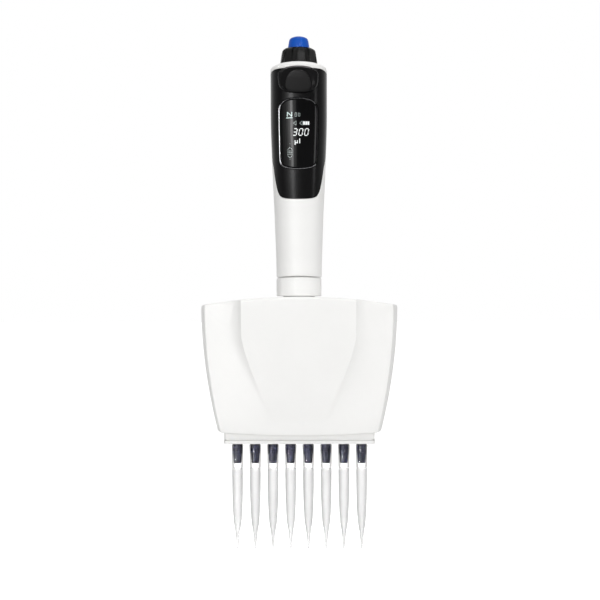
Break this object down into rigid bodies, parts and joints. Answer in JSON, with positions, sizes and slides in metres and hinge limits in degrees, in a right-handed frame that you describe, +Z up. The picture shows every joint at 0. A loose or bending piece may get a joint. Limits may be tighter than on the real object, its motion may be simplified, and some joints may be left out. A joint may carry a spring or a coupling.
{
  "type": "electronic multichannel pipette",
  "caption": "Hand-held electronic multichannel pipette: display handle with button, ring and eject key, over a swivelling wide manifold with a row of fitted tips.",
  "frame": {"origin": "centre of the flat seat under the finger hook, where the pipette hangs on a stand", "axes": "+Z up along the handle, tips pointing down; front with the display towards -Y; the row of tips runs along X"},
  "size_m": [0.0996, 0.0601, 0.26],
  "materials": {
    "white_plastic": "semi-gloss moulded",
    "black_plastic": "satin",
    "blue_plastic": "satin",
    "dark_polymer": "semi-gloss",
    "clear_plastic": "clear, slightly frosted",
    "black_glass": "polished",
    "bright_trim": "satin chrome",
    "steel": "fine ground",
    "aluminium": "machined",
    "brass": "machined",
    "grey_plastic": "moulded",
    "board_green": "solder mask",
    "silicone": "soft"
  },
  "bodies": {
    "handle": {"handle_housing": "white_plastic", "front_panel": "black_plastic", "display_window": "black_glass", "display_trim_ring": "bright_trim", "display_module": "steel", "main_board": "board_green", "battery_cell": "grey_plastic", "rotary_encoder": "grey_plastic", "stepper_motor": "steel", "drive_frame": "grey_plastic", "finger_hook": "white_plastic", "charging_socket": "steel", "button_spring": "steel", "eject_spring": "steel"},
    "knob": {"mode_knob": "black_plastic"},
    "button": {"dispense_button": "blue_plastic"},
    "eject": {"eject_key": "black_plastic", "eject_push_rod": "steel"},
    "plunger": {"drive_plunger": "grey_plastic", "drive_nut": "brass"},
    "screw": {"lead_screw": "steel"},
    "ring": {"lock_ring": "white_plastic"},
    "manifold": {"swivel_neck": "white_plastic", "manifold_front_cover": "white_plastic", "manifold_rear_cover": "white_plastic", "cylinder_block": "clear_plastic", "seal_strip": "silicone", "cover_screw_left": "steel", "cover_screw_right": "steel", "ejector_spring": "steel", "nozzle_1": "dark_polymer", "nozzle_2": "dark_polymer", "nozzle_3": "dark_polymer", "nozzle_4": "dark_polymer", "nozzle_5": "dark_polymer", "nozzle_6": "dark_polymer", "nozzle_7": "dark_polymer", "nozzle_8": "dark_polymer"},
    "pistons": {"piston_bar": "aluminium", "piston_link": "steel", "piston_1": "steel", "piston_2": "steel", "piston_3": "steel", "piston_4": "steel", "piston_5": "steel", "piston_6": "steel", "piston_7": "steel", "piston_8": "steel"},
    "ejector": {"ejector_bar": "white_plastic", "ejector_yoke": "aluminium"},
    "tips": {"tip_1": "clear_plastic", "tip_2": "clear_plastic", "tip_3": "clear_plastic", "tip_4": "clear_plastic", "tip_5": "clear_plastic", "tip_6": "clear_plastic", "tip_7": "clear_plastic", "tip_8": "clear_plastic"}
  },
  "joints": [
    {"name": "knob_turn", "type": "hinge", "parent": "handle", "child": "knob", "pos_m": [0, -0.025, 0.0171], "axis": [0, 0, 1], "continuous": true},
    {"name": "button_press", "type": "slide", "parent": "handle", "child": "button", "axis": [0, 0, -1], "range_m": [0, 0.0025], "stiffness_N_per_m": 200, "springref_m": -0.003, "deforming": ["button_spring"]},
    {"name": "eject_press", "type": "slide", "parent": "handle", "child": "eject", "axis": [0, 0, -1], "range_m": [0, 0.0055], "stiffness_N_per_m": 200, "springref_m": -0.006, "deforming": ["eject_spring"]},
    {"name": "plunger_travel", "type": "slide", "parent": "handle", "child": "plunger", "axis": [0, 0, 1], "range_m": [-0.0016, 0.0153]},
    {"name": "screw_turn", "type": "hinge", "parent": "handle", "child": "screw", "pos_m": [0, -0.025, -0.0542], "axis": [0, 0, 1], "range_deg": [-2760, 290]},
    {"name": "lock_ring_turn", "type": "hinge", "parent": "handle", "child": "ring", "pos_m": [0, -0.025, -0.1007], "axis": [0, 0, 1], "range_deg": [0, 60]},
    {"name": "manifold_swivel", "type": "hinge", "parent": "handle", "child": "manifold", "pos_m": [0, -0.025, -0.1083], "axis": [0, 0, 1], "continuous": true},
    {"name": "piston_lift", "type": "slide", "parent": "manifold", "child": "pistons", "axis": [0, 0, 1], "range_m": [-0.0016, 0.0153]},
    {"name": "ejector_drop", "type": "slide", "parent": "manifold", "child": "ejector", "axis": [0, 0, -1], "range_m": [0, 0.0055], "deforming": ["ejector_spring"]},
    {"name": "tips_drop", "type": "slide", "parent": "manifold", "child": "tips", "axis": [0, 0, -1], "range_m": [0, 0.0055]}
  ],
  "couplings": [
    {"joint": "screw_turn", "follows": "plunger_travel", "rad_per_m": -3141.6},
    {"joint": "piston_lift", "follows": "plunger_travel", "ratio": 1},
    {"joint": "ejector_drop", "follows": "eject_press", "ratio": 1},
    {"joint": "tips_drop", "follows": "eject_press", "ratio": 1}
  ]
}
